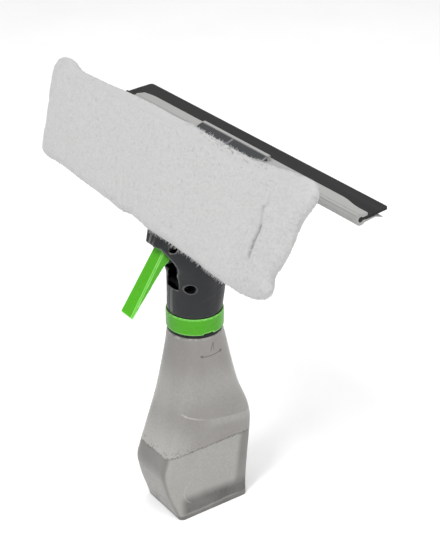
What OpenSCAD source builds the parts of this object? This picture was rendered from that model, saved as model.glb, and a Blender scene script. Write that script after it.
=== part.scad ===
// Window cleaning tool: spray bottle, trigger pump head, microfibre pad and squeegee blade.
// Millimetres. +Z is up the bottle, +X runs along the blade, -Y is the trigger and pad side.
// The origin is the centre of the bottle's foot.

/* [Bottle] */
// Width of the bottle along X
bottle_w = 41; // [38:0.5:42]
// Depth of the foot along Y
foot_d = 61; // [58:0.2:66]
// Reach of the shoulder towards the front
shoulder_front = 42.8; // [40:0.2:46]
// Reach of the shoulder towards the back
shoulder_back = 39.8; // [38:0.2:44]
// Height of the shoulder at the front
shoulder_front_z = 45; // [38:1:50]
// Height of the shoulder at the back
shoulder_back_z = 70; // [60:1:80]
// Radius of the upright corners
corner_r = 5.5; // [4:0.5:9]
// Thickness of the bottle's wall
bottle_wall = 1.3; // [1:0.1:1.6]
// Level of the liquid above the floor
liquid_z = 58; // [20:1:90]
// Height of the mouth's rim
rim_z = 166; // [165.5:0.1:166.1]

/* [Lock ring] */
// Outer radius of the ring
collar_r = 21.5; // [21.3:0.1:22.5]
// Height of the ring's lower edge
collar_z = 155.5; // [155.3:0.1:155.7]
// Angle of each bayonet lug
lug_arc = 40; // [30:2:50]

/* [Head] */
// Outer radius of the head's neck
neck_r = 20.5; // [20.4:0.1:20.6]
// Wall of the housing halves
housing_wall = 1.8; // [1.5:0.1:2]
// Half width of the clamp jaws
jaw_half_w = 39.5; // [30:0.5:45]
// Width of the trigger at its lower end
trigger_w = 14.8; // [13.4:0.2:16]

/* [Pad] */
// Lean of the pad from the vertical, in degrees
pad_lean = 18.7; // [18:0.1:19.5]
// Length of the pad along its upper edge
pad_top_l = 312; // [280:2:320]
// Length of the pad along its lower edge
pad_bottom_l = 290; // [260:2:300]

/* [Squeegee] */
// Length of the rubber blade
blade_l = 280; // [240:5:300]
// Thickness of the rubber at its root
rubber_t = 2; // [1.8:0.1:2.1]
// How far the lip stands back near its ends
lip_step = 3.4; // [2:0.1:4]
// Rubber left bare past the holder's left end
bare_l = 15.5; // [0:0.5:25]

/* [Hidden] */

$fn = 64;
hull_fn = 32;       // children of hulls
skin = 0.02;        // thickness of a hull's section discs
cut = 1;            // overshoot of a cutter past the face that it opens
slack = 0.05;       // gap between fixed pieces
play = 0.3;         // gap between pieces that move on each other

// Bottle
foot_edge = 0.8;
shoulder_z = 152.5;
shoulder_r = 20.3;
mouth_r = 15.5;
mouth_bore_r = 13.8;
lug_r = 17.2;
lug_z = 158;
lug_h = 2.3;

// Lock ring: heights up the bore, from the lower edge
collar_h = 13.4;
lip_h = 2.2;
rib_z = collar_z + 5.4;
rib_h = 2.2;
rib_r = 19.1;
collar_bore = 20.1;
notch_at = -5;
notch_arc = 22;
notch_h = 1.3;

// Head's neck
neck_z = collar_z + collar_h + 0.7;
tube_bore = 17.5;
tube_z = 158.3;
sill_z = 190.5;
waist_z = 202;
plug_z = 168.4;
plug_h = 2.6;

// Pump, inlet and outlet
pump_z = 212.8;
pump_r = 7;
pump_bore = 5.6;
pump_front = -14.5;
pump_end = 15;
inlet_y = 9;
outlet_y = 11;
tower_r = 4.2;
ball_r = 2;
valve_bore = 2.4;
port_r = 1.3;
tube_r = 2.4;
hose_r = 2;
hose_z = 236;
hose_bend = 5;

// Trigger: pin, push bar and the bar's angle from straight down
pin_y = -25.2;
pin_z = 227.2;
pin_r = 1.5;
pin_end = 7.95;
bar_y = -31.5;
bar_z = 213.5;
bar_r = 2.2;
trigger_top_w = 12.4;
ear_half_w = 6.1;
piston_tip = bar_y + bar_r + play;

// Screws along X: [y, z]
SCREWS = [[-13.4, 193], [-8, 258], [15, 266]];
screw_r = 1.4;
screw_head_r = 2.7;
screw_seat_x = 5;
boss_r = 3.6;
well_r = 3.3;

// Pad frame: centre of the plate, which leans back by pad_lean
pad_y = -27.75;
pad_z = 288.5;
plate_t = 3;
pad_rise = 35.5;
pad_drop = 44.5;
foam_front = -4.8;
cover_front = -7;
cover_back = 7;
nose_front = 8.7;
nozzle_z = -48;

// Squeegee section: centre of the rubber's bead
bead_y = 32.8;
bead_z = 284.4;
bead_r = 1.9;
holder_r = 4.2;
blade_reach = 23.4;
blade_rise = 5;

// An arc of points about [cx, cy], from angle a to angle b
function arc(cx, cy, r, a, b, steps = 8) =
    [for (i = [0:steps]) [cx + r * cos(a + (b - a) * i / steps), cy + r * sin(a + (b - a) * i / steps)]];

// A smooth step from 0 to 1 as t goes from 0 to 1
function ease(t) = t * t * (3 - 2 * t);

// A [y, z] outline extruded along X, from x0 to x1
module side_slab(points, x0, x1)
    translate([x0, 0, 0]) rotate([90, 0, 90]) linear_extrude(x1 - x0) polygon(points);

// A cylinder along X through [y, z], from x0 to x1
module x_rod(y, z, r, x0, x1)
    translate([x0, y, z]) rotate([0, 90, 0]) cylinder(r = r, h = x1 - x0);

// A cylinder along Y through z, from y0 to y1
module y_rod(z, r, y0, y1)
    translate([0, y0, z]) rotate([-90, 0, 0]) cylinder(r = r, h = y1 - y0);

// A flat ring about Z
module ring(r_in, r_out, z, h)
    translate([0, 0, z]) difference() {
        cylinder(r = r_out, h = h);
        translate([0, 0, -cut]) cylinder(r = r_in, h = h + 2 * cut);
    }

// Three bayonet lugs, centred on the angle given
module lugs(r_in, r_out, z, h, at)
    for (i = [0:2])
        rotate([0, 0, at + 120 * i - lug_arc / 2])
            rotate_extrude(angle = lug_arc)
                translate([r_in, z]) square([r_out - r_in, h]);

// The frame of the pad: X along it, Z up it, -Y out of its face
module pad_frame() translate([0, pad_y, pad_z]) rotate([-pad_lean, 0, 0]) children();

// The nozzle's axis, which points into the nose, from a depth behind its front face
module nozzle_axis(depth)
    pad_frame() translate([0, nose_front + depth, nozzle_z]) rotate([-90, 0, 0]) children();

// A box in the pad frame with rounded corners in X and Z
module pad_slab(half_w, z0, z1, y0, y1, r)
    pad_frame() translate([0, y1, 0]) rotate([90, 0, 0]) linear_extrude(y1 - y0)
        polygon(concat(arc(half_w - r, z1 - r, r, 0, 90), arc(r - half_w, z1 - r, r, 90, 180),
            arc(r - half_w, z0 + r, r, 180, 270), arc(half_w - r, z0 + r, r, 270, 360)));

// ---- Bottle ----

// The bottle's body, shrunk all round by g: round at the top, four-cornered below
module bottle_form(g)
    hull() {
        for (sx = [-1, 1]) {
            for (sy = [-1, 1]) translate([sx * (bottle_w / 2 - corner_r), sy * (foot_d / 2 - corner_r), 0]) {
                translate([0, 0, g]) cylinder(r = corner_r - foot_edge - g, h = skin, $fn = hull_fn);
                translate([0, 0, g + foot_edge]) cylinder(r = corner_r - g, h = skin, $fn = hull_fn);
            }
            translate([sx * (bottle_w / 2 - corner_r), corner_r - shoulder_front, shoulder_front_z])
                cylinder(r = corner_r - g, h = skin, $fn = hull_fn);
            translate([sx * (bottle_w / 2 - corner_r), shoulder_back - corner_r, shoulder_back_z])
                cylinder(r = corner_r - g, h = skin, $fn = hull_fn);
        }
        translate([0, 0, shoulder_z - g]) cylinder(r = shoulder_r - g, h = skin, $fn = 2 * hull_fn);
    }

module bottle()
    color([0.72, 0.71, 0.69, 0.6]) {
        difference() {
            union() {
                bottle_form(0);
                translate([0, 0, shoulder_z - 0.5]) cylinder(r = mouth_r, h = rim_z - shoulder_z + 0.5);
            }
            bottle_form(bottle_wall);
            translate([0, 0, shoulder_z - 2 * bottle_wall])
                cylinder(r = mouth_bore_r, h = rim_z - shoulder_z + 2 * bottle_wall + cut);
        }
        lugs(mouth_r - 0.5, lug_r, lug_z, lug_h, 0);
    }

module cleaning_fluid()
    color([0.8, 0.85, 0.88, 0.5])
        difference() {
            intersection() {
                bottle_form(bottle_wall + slack);
                translate([-bottle_w, -2 * bottle_w, 0]) cube([2 * bottle_w, 4 * bottle_w, liquid_z]);
            }
            translate([0, inlet_y, 0]) cylinder(r = tube_r + 2 * play, h = liquid_z + cut);
        }

module shoulder_seal() color([0.12, 0.12, 0.13]) ring(mouth_r + slack, 19.9, shoulder_z + slack, 2.3);

// ---- Lock ring ----

module lock_collar()
    color([0.36, 0.7, 0.2]) {
        top_z = collar_z + collar_h;
        difference() {
            rotate_extrude() polygon([
                [tube_bore, collar_z], [collar_r - 0.4, collar_z], [collar_r, collar_z + 0.4],
                [collar_r, top_z - 1], [collar_r - 0.5, top_z], [collar_bore + 0.65, top_z],
                [collar_bore, top_z - 1], [collar_bore, rib_z + rib_h], [rib_r, rib_z + rib_h],
                [rib_r, rib_z], [collar_bore, rib_z], [collar_bore, collar_z + lip_h],
                [tube_bore, collar_z + lip_h]]);
            for (at = [notch_at, notch_at + 180])
                rotate([0, 0, at - notch_arc / 2])
                    rotate_extrude(angle = notch_arc)
                        translate([collar_r - 1.6, collar_z - cut]) square([1.6 + cut, notch_h + cut]);
        }
        lugs(mouth_r + 0.4, tube_bore + 0.5, collar_z, lip_h, 60);
    }

// ---- Mouth closure ----

module neck_plug()
    color([0.3, 0.3, 0.31])
        difference() {
            union() {
                translate([0, 0, plug_z]) cylinder(r = 18, h = plug_h);
                ring(12.2, mouth_bore_r - 0.4, plug_z - 5.4, 5.5);
            }
            translate([0, inlet_y, plug_z - cut]) cylinder(r = tube_r + slack, h = plug_h + 2 * cut);
        }

module rim_gasket()
    color([0.15, 0.15, 0.15]) ring(mouth_bore_r - 0.3, lug_r, rim_z + 0.2, plug_z - rim_z - 0.25);

module dip_tube()
    color([0.88, 0.88, 0.86])
        translate([0, inlet_y, 4]) difference() {
            cylinder(r = tube_r, h = plug_z + 8.5 - 4);
            translate([0, 0, -cut]) cylinder(r = tube_r - 0.7, h = plug_z + 8.5 - 4 + 2 * cut);
            translate([0, 0, -slack]) rotate([0, 45, 0]) cube([4, 2 * tube_r + cut, 4], center = true);
        }

// ---- Housing ----

// A section of the neck at height z: round, with a second round behind it by the offset given
module neck_section(z, offset, g) {
    translate([0, 0, z]) cylinder(r = neck_r - 0.1 - g, h = skin, $fn = 2 * hull_fn);
    translate([0, offset, z]) cylinder(r = neck_r - 1 - g, h = skin, $fn = 2 * hull_fn);
}

// The head's outside, shrunk by g: a round neck, then a body that reaches forward to the nose,
// up to the pad and back to the clamp
module housing_form(g) {
    hull() {
        translate([0, 0, neck_z - (g > 0 ? cut : 0)]) cylinder(r = neck_r - g, h = skin, $fn = 2 * hull_fn);
        neck_section(sill_z, 4.6, g + slack);
    }
    hull() {
        neck_section(sill_z - skin, 4.6, g);
        neck_section(waist_z, 5.4, g + slack);
    }
    hull() {
        neck_section(waist_z - skin, 5.4, g);
        pad_frame() translate([0, 0, g - 58.5]) linear_extrude(34 - 2 * g) polygon([
            [g / 2 - 4, nose_front + g], [4 - g / 2, nose_front + g], [8.5 - g, nose_front + 4.8],
            [9 - g, nose_front + 12], [g - 9, nose_front + 12], [g - 8.5, nose_front + 4.8]]);
        pad_frame() translate([g - 14, nose_front + g, -8]) cube([28 - 2 * g, 3, 20 - g]);
        for (sx = [-1, 1]) translate([sx * 6, 18.6, 286 - g]) cylinder(r = 9 - g, h = skin, $fn = hull_fn);
    }
}

// The finger bay under the nose: everything in front of the head's curved front edge
module trigger_bay(x0, x1)
    side_slab([[-70, sill_z], [-18.3, sill_z], [-18.3, 195], [-18.7, 200.5], [-19.9, 206], [-21.6, 210.6],
        [-24.3, 215.4], [-30.7, 224.2], [-32.8, 227.2], [-38.4, 230.6], [-70, 230.6]], x0, x1);

// The bay between the cheeks, as deep as the trigger's top swings
module trigger_slot() {
    half_w = trigger_top_w / 2 + play;
    side_slab([[-38, sill_z], [-17, sill_z], [-17, 212], [-18, 218], [-22, 228], [-38, 228]],
        -half_w, half_w);
}

// Section of the clamp that holds the blade, open to the back
JAW = [[34.3, 292.2], [22, 287.8], [19, 284], [19, 274], [24, 274.5], [36, 277.2], [36, 279.3], [33, 279.5],
    [28.6, 280.8], [27.7, 284.4], [28.6, 288.1], [31, 289.2], [34.3, 290.2]];

module clamp_jaws()
    intersection() {
        side_slab(JAW, -jaw_half_w, jaw_half_w);
        translate([0, 0, 270]) linear_extrude(30) polygon([[-jaw_half_w, 38], [-jaw_half_w, 29],
            [-22, 15], [22, 15], [jaw_half_w, 29], [jaw_half_w, 38]]);
    }

// The skirt inside the lock ring: flange, groove for the ring's rib, and the seat of the neck plug
module neck_skirt()
    rotate_extrude() polygon([
        [tube_bore, tube_z], [collar_bore - 0.4, tube_z], [collar_bore - 0.4, rib_z - play],
        [rib_r - play, rib_z - play], [rib_r - play, rib_z + rib_h + play],
        [collar_bore - play, rib_z + rib_h + play], [collar_bore - play, neck_z - 1], [neck_r, neck_z],
        [neck_r - 0.1, neck_z + 3], [17, neck_z + 3], [17, plug_z + plug_h + slack],
        [18 + slack, plug_z + plug_h + slack], [18 + slack, plug_z - slack], [tube_bore, plug_z - slack]]);

// Everything that both halves share; each half keeps its own side of X = 0.
// Bosses of the radius given stand in the hollow, from wall to wall
module housing_shell(r)
    difference() {
        union() {
            difference() {
                union() {
                    housing_form(0);
                    pad_slab(22, -20, 15, plate_t / 2 + slack, nose_front + 1, 4);
                    clamp_jaws();
                }
                difference() {
                    housing_form(housing_wall);
                    for (s = SCREWS) x_rod(s[0], s[1], r, -30, 30);
                    for (x0 = [-30, ear_half_w + play])
                        x_rod(pin_y, pin_z, r, x0, x0 + 30 - ear_half_w - play);
                }
                trigger_bay(-30, 30);
                trigger_slot();
            }
            neck_skirt();
        }
        x_rod(pin_y, pin_z, pin_r + slack, -30, 30);
        nozzle_axis(-cut) cylinder(r = 3.1, h = 4);
        for (sx = [-1, 1])
            pad_frame() translate([sx * 13, 0, -2]) rotate([-90, 0, 0]) cylinder(r = screw_r, h = 9.8);
    }

module housing_left()
    color([0.3, 0.3, 0.31])
        difference() {
            intersection() {
                housing_shell(boss_r);
                translate([-60, -80, 100]) cube([60 - slack / 2, 160, 250]);
            }
            for (s = SCREWS) x_rod(s[0], s[1], screw_r + slack, -12, 1);
        }

module housing_right()
    color([0.3, 0.3, 0.31])
        difference() {
            intersection() {
                housing_shell(well_r + 1);
                translate([slack / 2, -80, 100]) cube([60, 160, 250]);
            }
            for (s = SCREWS) {
                x_rod(s[0], s[1], screw_r + slack, 0, 10);
                x_rod(s[0], s[1], well_r, screw_seat_x + 1, 40);
            }
            x_rod(pin_y, pin_z, well_r - 0.1, ear_half_w + play + 0.9, 20);
        }

module housing_screws()
    color([0.75, 0.75, 0.77])
        for (s = SCREWS)
            difference() {
                union() {
                    x_rod(s[0], s[1], screw_r, -11.5, screw_seat_x + 1.5);
                    x_rod(s[0], s[1], screw_head_r, screw_seat_x + 1 + slack, screw_seat_x + 2.8);
                }
                for (a = [0, 90])
                    translate([screw_seat_x + 2.8, s[0], s[1]]) rotate([a, 0, 0])
                        cube([1.8, 3.2, 0.7], center = true);
            }

// ---- Trigger ----

// Side outline of the lever, from its lower tip up to the pin
LEVER = [[-58.9, 180.4], [-57.7, 179], [-55.9, 181.2], [-30.1, 212.4], [-25.5, 215.4], [-22, 225.2],
    [-25.2, 230.7], [-28.6, 228.4], [-31.2, 222.6]];
// The hollow behind its front plate
HOLLOW = [[-54.5, 183.6], [-50, 184], [-20, 205], [-20, 220.5], [-28.6, 221.8], [-30.2, 220.7]];

module trigger()
    color([0.31, 0.72, 0.16]) {
        run = 58.9 - 31.2;
        rise = 222.6 - 180.4;
        low = trigger_w / 2;
        high = trigger_top_w / 2;
        taper = atan2(low - high, norm([run, rise]));
        difference() {
            union() {
                intersection() {
                    side_slab(LEVER, -low, low);
                    rotate([90, 0, 0]) linear_extrude(80) polygon([[-low, 178], [low, 178], [low, 180.4],
                        [high, 222.6], [high, 235], [-high, 235], [-high, 222.6], [-low, 180.4]]);
                }
                x_rod(pin_y, pin_z, boss_r, -ear_half_w, ear_half_w);
            }
            side_slab(HOLLOW, -4.4, 4.4);
            for (sx = [-1, 1]) {
                x_rod(pin_y, pin_z, 4.9, sx > 0 ? ear_half_w : -10, sx > 0 ? 10 : -ear_half_w);
                translate([sx * low, -58.9, 180.4])
                    rotate([atan2(rise, run), 0, 0]) rotate([0, 0, sx * taper]) rotate([0, 45, 0])
                        translate([-0.7, -6, -0.7]) cube([1.4, 70, 1.4]);
            }
            x_rod(pin_y, pin_z, pin_r + slack, -10, 10);
        }
        x_rod(bar_y, bar_z, bar_r, -4.9, 4.9);
    }

module trigger_pin()
    color([0.78, 0.78, 0.8])
        difference() {
            union() {
                x_rod(pin_y, pin_z, pin_r, -7.8, pin_end - 0.1);
                x_rod(pin_y, pin_z, 2.8, ear_half_w + play + 0.9 + slack, pin_end);
            }
            translate([pin_end, pin_y, pin_z]) cube([0.5, 4.4, 0.7], center = true);
        }

// ---- Pump ----

module pump_body()
    color([0.2, 0.2, 0.21])
        difference() {
            union() {
                y_rod(pump_z, pump_r, pump_front, pump_end + 1.5);
                translate([0, inlet_y, plug_z + plug_h + slack]) {
                    cylinder(r = tower_r, h = pump_z - plug_z - plug_h - 4);
                    cylinder(r = tower_r + 2, h = 1.6);
                }
                translate([0, outlet_y, pump_z]) cylinder(r = tower_r, h = 13.2);
            }
            y_rod(pump_z, pump_bore, pump_front - cut, pump_end);
            translate([0, inlet_y, plug_z]) cylinder(r = tube_r + slack, h = 8.6);
            translate([0, inlet_y, plug_z]) cylinder(r = port_r, h = pump_z - plug_z);
            translate([0, inlet_y, 180]) cylinder(r = valve_bore, h = 5.2);
            translate([0, outlet_y, pump_z]) cylinder(r = port_r, h = 14);
            translate([0, outlet_y, 221]) cylinder(r = valve_bore, h = 6);
        }

module valve_ball(y, z) color([0.8, 0.8, 0.82]) translate([0, y, z]) sphere(r = ball_r);

module inlet_ball() valve_ball(inlet_y, 181.7);

module outlet_ball() valve_ball(outlet_y, 222.7);

module outlet_cap()
    color([0.2, 0.2, 0.21])
        translate([0, outlet_y, pump_z + 13.2 + slack]) difference() {
            cylinder(r = tower_r, h = 4);
            translate([0, 0, -cut]) cylinder(r = port_r - 0.2, h = 6);
            translate([0, 0, 1.4]) cylinder(r = hose_r + slack, h = 4);
        }

module piston()
    color([0.13, 0.13, 0.14])
        difference() {
            union() {
                y_rod(pump_z, 2.4, piston_tip, -8);
                y_rod(pump_z, pump_bore - 0.08, -9, -1.5);
            }
            difference() {
                y_rod(pump_z, pump_r, -6.2, -4.2);
                y_rod(pump_z, 3.85, -7, -3);
            }
        }

module piston_seal()
    color([0.1, 0.1, 0.1])
        translate([0, -5.2, pump_z]) rotate([-90, 0, 0])
            rotate_extrude() translate([4.72, 0]) circle(r = 0.85);

// One closed tube swept along a coil about Y, from y0 to y1
module coil(y0, y1, r, wire, turns, sides = 8, steps = 20) {
    last = turns * steps;
    points = [for (i = [0:last], j = [0:sides - 1])
        let (a = 360 * i / steps, b = 360 * j / sides, d = r + wire * cos(b))
            [d * cos(a), y0 + wire + (y1 - y0 - 2 * wire) * i / last + wire * sin(b), pump_z + d * sin(a)]];
    walls = [for (i = [0:last - 1], j = [0:sides - 1])
        let (k = (j + 1) % sides)
            [i * sides + j, i * sides + k, (i + 1) * sides + k, (i + 1) * sides + j]];
    start = [[for (j = [sides - 1:-1:0]) j]];
    end = [[for (j = [0:sides - 1]) last * sides + j]];
    polyhedron(points, concat(walls, start, end), convexity = 10);
}

module return_spring() color([0.75, 0.75, 0.77]) coil(-1.4, pump_end - slack, 4.2, 0.45, 7);

// ---- Spray path ----

// Up from the outlet, round a bend and forward to the nose
module delivery_tube()
    color([0.85, 0.85, 0.83])
        difference() {
            delivery_path(hose_r, 0);
            delivery_path(hose_r - 0.8, cut);
        }

module delivery_path(r, over) {
    foot = pump_z + 13.2 + 1.4 + 2 * slack;
    translate([0, outlet_y, foot - over]) cylinder(r = r, h = hose_z - hose_bend - foot + over);
    translate([0, outlet_y - hose_bend, hose_z - hose_bend]) rotate([90, 0, 90])
        rotate_extrude(angle = 90) translate([hose_bend, 0]) circle(r = r);
    y_rod(hose_z, r, -24 - over, outlet_y - hose_bend);
}

module nozzle_body()
    color([0.2, 0.2, 0.21])
        difference() {
            union() {
                nozzle_axis(0.2) cylinder(r = 3, h = 9.5);
                y_rod(hose_z, 3.2, -27.5, -20);
            }
            y_rod(hose_z, hose_r + slack, -24.1, -19);
            y_rod(hose_z, 0.9, -28, -20);
            nozzle_axis(1.4) cylinder(r = 1.9, h = 7.2);
            nozzle_axis(-cut) cylinder(r = 0.5, h = 4);
        }

module swirl_core()
    color([0.8, 0.8, 0.78])
        nozzle_axis(1.9) difference() {
            cylinder(r = 1.85, h = 6);
            for (a = [0:120:240]) rotate([0, 0, a]) translate([1.5, -0.3, -cut]) cube([1, 0.6, 8]);
        }

// ---- Pad ----

module pad_plate()
    color([0.28, 0.28, 0.29])
        difference() {
            union() {
                pad_slab(114, -29, 27, -plate_t / 2, plate_t / 2, 9);
                for (z = [-26, 20]) pad_slab(104, z, z + 3.4, 0, plate_t / 2 + 1.6, 1.5);
            }
            for (sx = [-1, 1])
                pad_frame() translate([sx * 13, 0, -2]) rotate([90, 0, 0]) {
                    translate([0, 0, -5]) cylinder(r = screw_r, h = 10);
                    translate([0, 0, 0.1]) cylinder(r = screw_head_r + slack, h = 4);
                }
            for (sx = [-1, 1], x = [44, 72, 100]) pad_frame() translate([sx * x, 0, 0]) rotate([90, 0, 0])
                translate([0, 0, -5]) cylinder(r = 8, h = 10);
        }

module pad_foam() color([0.9, 0.88, 0.8]) pad_slab(110, -27, 25, foam_front, -plate_t / 2 - slack, 8);

// Outline of the sleeve in its own plane, wider at the top, with rounded corners
function cover_outline(r) =
    let (t = pad_top_l / 2 - r, b = pad_bottom_l / 2 - r, top = pad_rise - r, low = r - pad_drop)
        concat(arc(t, top, r, -10, 90), arc(-t, top, r, 90, 190),
            arc(-b, low, r, 190, 270), arc(b, low, r, 270, 350));

module pad_cover()
    color([0.86, 0.86, 0.85])
        difference() {
            pad_frame() translate([0, cover_back, 0]) rotate([90, 0, 0])
                linear_extrude(cover_back - cover_front) polygon(cover_outline(9));
            pad_slab(115, -30, 28, foam_front - 0.2, plate_t / 2 + 1.9, 9.5);
            pad_slab(27, -25, 20, 0, cover_back + cut, 5);
        }

module plate_screws()
    color([0.75, 0.75, 0.77])
        for (sx = [-1, 1])
            pad_frame() translate([sx * 13, 0, -2]) rotate([90, 0, 0]) {
                translate([0, 0, -9.4]) cylinder(r = screw_r - slack, h = 9.6);
                translate([0, 0, 0.15]) cylinder(r = screw_head_r, h = 1.3);
            }

// ---- Squeegee ----

// How far back the holder's upper lip reaches, at x along the blade
function lip_y(x) = bead_y + 9 - lip_step * ease(min(1, max(0, (abs(x) - 112) / 19)));

module blade_holder()
    color([0.7, 0.7, 0.68]) {
        half = blade_l / 2;
        left = bare_l - half;
        difference() {
            union() {
                x_rod(bead_y, bead_z, holder_r, left, half);
                intersection() {
                    side_slab([[bead_y - 0.5, bead_z + holder_r], [bead_y + 9, bead_z + 3.1],
                        [bead_y + 9, bead_z + 2], [bead_y, bead_z + 1.2]], left, half);
                    translate([0, 0, bead_z - 5]) linear_extrude(12) polygon(concat([[half, bead_y - 5]],
                        [for (i = [-30:30]) let (x = -half * i / 30) [x, lip_y(x)]], [[-half, bead_y - 5]]));
                }
                side_slab([[bead_y, bead_z - holder_r], [bead_y + 4, bead_z - 2.6],
                    [bead_y + 12.5, bead_z - 1.4], [bead_y + 18.4, bead_z - 3.3],
                    [bead_y + 18.4, bead_z - 2.5], [bead_y + 12.5, bead_z - 0.5],
                    [bead_y, bead_z - 1.5]], left, half);
            }
            x_rod(bead_y, bead_z, bead_r + slack, -half - cut, half + cut);
            translate([0, bead_y, bead_z]) rotate([blade_rise, 0, 0])
                translate([-half - cut, 0, -rubber_t / 2 - slack])
                    cube([blade_l + 2 * cut, 30, rubber_t + 2 * slack]);
            for (y = [1.6, 3])
                x_rod(bead_y - y, bead_z + holder_r - 0.2 * y * y + 0.18, 0.3, -half - cut, half + cut);
        }
        side_slab([[34.6, 287.8], [37.4, 287.4], [37.4, 292.1], [37.1, 292.5], [34.9, 292.5], [34.6, 292.3]],
            0.3 - jaw_half_w, jaw_half_w - 0.3);
    }

module rubber_blade()
    color([0.22, 0.22, 0.22]) {
        half = blade_l / 2;
        tip = 2.5;
        x_rod(bead_y, bead_z, bead_r, -half, half);
        translate([0, bead_y, bead_z]) rotate([blade_rise, 0, 0])
            intersection() {
                side_slab([[1, -rubber_t / 2], [12, -rubber_t / 2], [blade_reach, -0.7], [blade_reach, 0.7],
                    [12, rubber_t / 2], [1, rubber_t / 2]], -half, half);
                translate([0, 0, -5]) linear_extrude(10) polygon(concat([[-half, 0], [half, 0]],
                    arc(half - tip, blade_reach - tip, tip, 0, 90),
                    arc(tip - half, blade_reach - tip, tip, 90, 180)));
            }
    }

bottle();
cleaning_fluid();
shoulder_seal();
lock_collar();
neck_plug();
rim_gasket();
dip_tube();
housing_left();
housing_right();
housing_screws();
trigger();
trigger_pin();
pump_body();
piston();
piston_seal();
return_spring();
inlet_ball();
outlet_ball();
outlet_cap();
delivery_tube();
nozzle_body();
swirl_core();
pad_plate();
pad_foam();
pad_cover();
plate_screws();
blade_holder();
rubber_blade();
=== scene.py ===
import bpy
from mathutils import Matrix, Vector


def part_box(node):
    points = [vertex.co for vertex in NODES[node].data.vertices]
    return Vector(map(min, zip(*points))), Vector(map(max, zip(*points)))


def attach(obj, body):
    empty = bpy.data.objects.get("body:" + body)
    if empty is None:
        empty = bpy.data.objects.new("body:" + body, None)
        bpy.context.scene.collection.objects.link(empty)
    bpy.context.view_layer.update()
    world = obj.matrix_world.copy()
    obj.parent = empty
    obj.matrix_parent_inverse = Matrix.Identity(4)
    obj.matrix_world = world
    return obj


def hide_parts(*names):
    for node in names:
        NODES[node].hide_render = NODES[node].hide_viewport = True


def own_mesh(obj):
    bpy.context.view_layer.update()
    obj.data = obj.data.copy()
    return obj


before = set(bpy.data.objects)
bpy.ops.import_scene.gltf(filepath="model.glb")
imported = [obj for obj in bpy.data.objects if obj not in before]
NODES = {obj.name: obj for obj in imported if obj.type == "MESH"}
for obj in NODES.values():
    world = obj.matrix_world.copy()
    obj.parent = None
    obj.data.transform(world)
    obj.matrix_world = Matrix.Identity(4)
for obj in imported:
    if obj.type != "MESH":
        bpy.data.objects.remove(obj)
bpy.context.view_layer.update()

import math
import random

import bpy
import bmesh
import numpy as np
from mathutils import Vector, noise
from mathutils.bvhtree import BVHTree

MM = 0.001


# ---------------------------------------------------------------- materials

class Graph:
    """A small helper around one material's node tree."""

    def __init__(self, name):
        self.mat = bpy.data.materials.new(name)
        self.mat.use_nodes = True
        self.nt = self.mat.node_tree
        self.bsdf = next(n for n in self.nt.nodes if n.type == "BSDF_PRINCIPLED")
        self.coord = self.nt.nodes.new("ShaderNodeTexCoord")

    def new(self, kind, **props):
        n = self.nt.nodes.new(kind)
        for k, v in props.items():
            setattr(n, k, v)
        return n

    def link(self, a, b):
        self.nt.links.new(a, b)

    def fill(self, socket, value):
        if isinstance(value, bpy.types.NodeSocket):
            self.link(value, socket)
        elif isinstance(value, (tuple, list)) and len(value) == 3 and socket.type == "RGBA":
            socket.default_value = (*value, 1)
        else:
            socket.default_value = value

    def stretched(self, scale):
        m = self.new("ShaderNodeMapping")
        self.link(self.coord.outputs["Object"], m.inputs["Vector"])
        m.inputs["Scale"].default_value = scale
        return m.outputs["Vector"]

    def noise(self, scale, detail=3.0, rough=0.55, stretch=None, distortion=0.0):
        n = self.new("ShaderNodeTexNoise")
        self.link(self.stretched(stretch) if stretch else self.coord.outputs["Object"], n.inputs["Vector"])
        n.inputs["Scale"].default_value = scale
        n.inputs["Detail"].default_value = detail
        n.inputs["Roughness"].default_value = rough
        n.inputs["Distortion"].default_value = distortion
        return n.outputs["Fac"]

    def cells(self, scale):
        n = self.new("ShaderNodeTexVoronoi", feature="F1")
        self.link(self.coord.outputs["Object"], n.inputs["Vector"])
        n.inputs["Scale"].default_value = scale
        return n.outputs["Distance"]

    def math(self, op, a, b=0.0):
        n = self.new("ShaderNodeMath", operation=op)
        self.fill(n.inputs[0], a)
        self.fill(n.inputs[1], b)
        return n.outputs[0]

    def remap(self, value, lo, hi, to_lo=0.0, to_hi=1.0):
        n = self.new("ShaderNodeMapRange", interpolation_type="SMOOTHSTEP")
        self.fill(n.inputs["Value"], value)
        n.inputs["From Min"].default_value = lo
        n.inputs["From Max"].default_value = hi
        n.inputs["To Min"].default_value = to_lo
        n.inputs["To Max"].default_value = to_hi
        return n.outputs["Result"]

    def mix(self, fac, a, b):
        n = self.new("ShaderNodeMix", data_type="RGBA")
        self.fill(n.inputs["Factor"], fac)
        self.fill(n.inputs[6], a)
        self.fill(n.inputs[7], b)
        return n.outputs[2]

    def axes(self):
        n = self.new("ShaderNodeSeparateXYZ")
        self.link(self.coord.outputs["Object"], n.inputs[0])
        return n.outputs

    def facing(self):
        """The surface normal's X, Y and Z."""
        g = self.new("ShaderNodeSeparateXYZ")
        self.link(self.coord.outputs["Normal"], g.inputs[0])
        return g.outputs

    def bump(self, height, strength, distance, below=None):
        n = self.new("ShaderNodeBump")
        n.inputs["Strength"].default_value = strength
        n.inputs["Distance"].default_value = distance
        self.fill(n.inputs["Height"], height)
        if below is not None:
            self.link(below, n.inputs["Normal"])
        self.link(n.outputs[0], self.bsdf.inputs["Normal"])
        return n.outputs[0]

    def set(self, **values):
        for k, v in values.items():
            self.fill(self.bsdf.inputs[k.replace("_", " ")], v)


def scaled(c, k):
    return tuple(min(1.0, x * k) for x in c)


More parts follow.
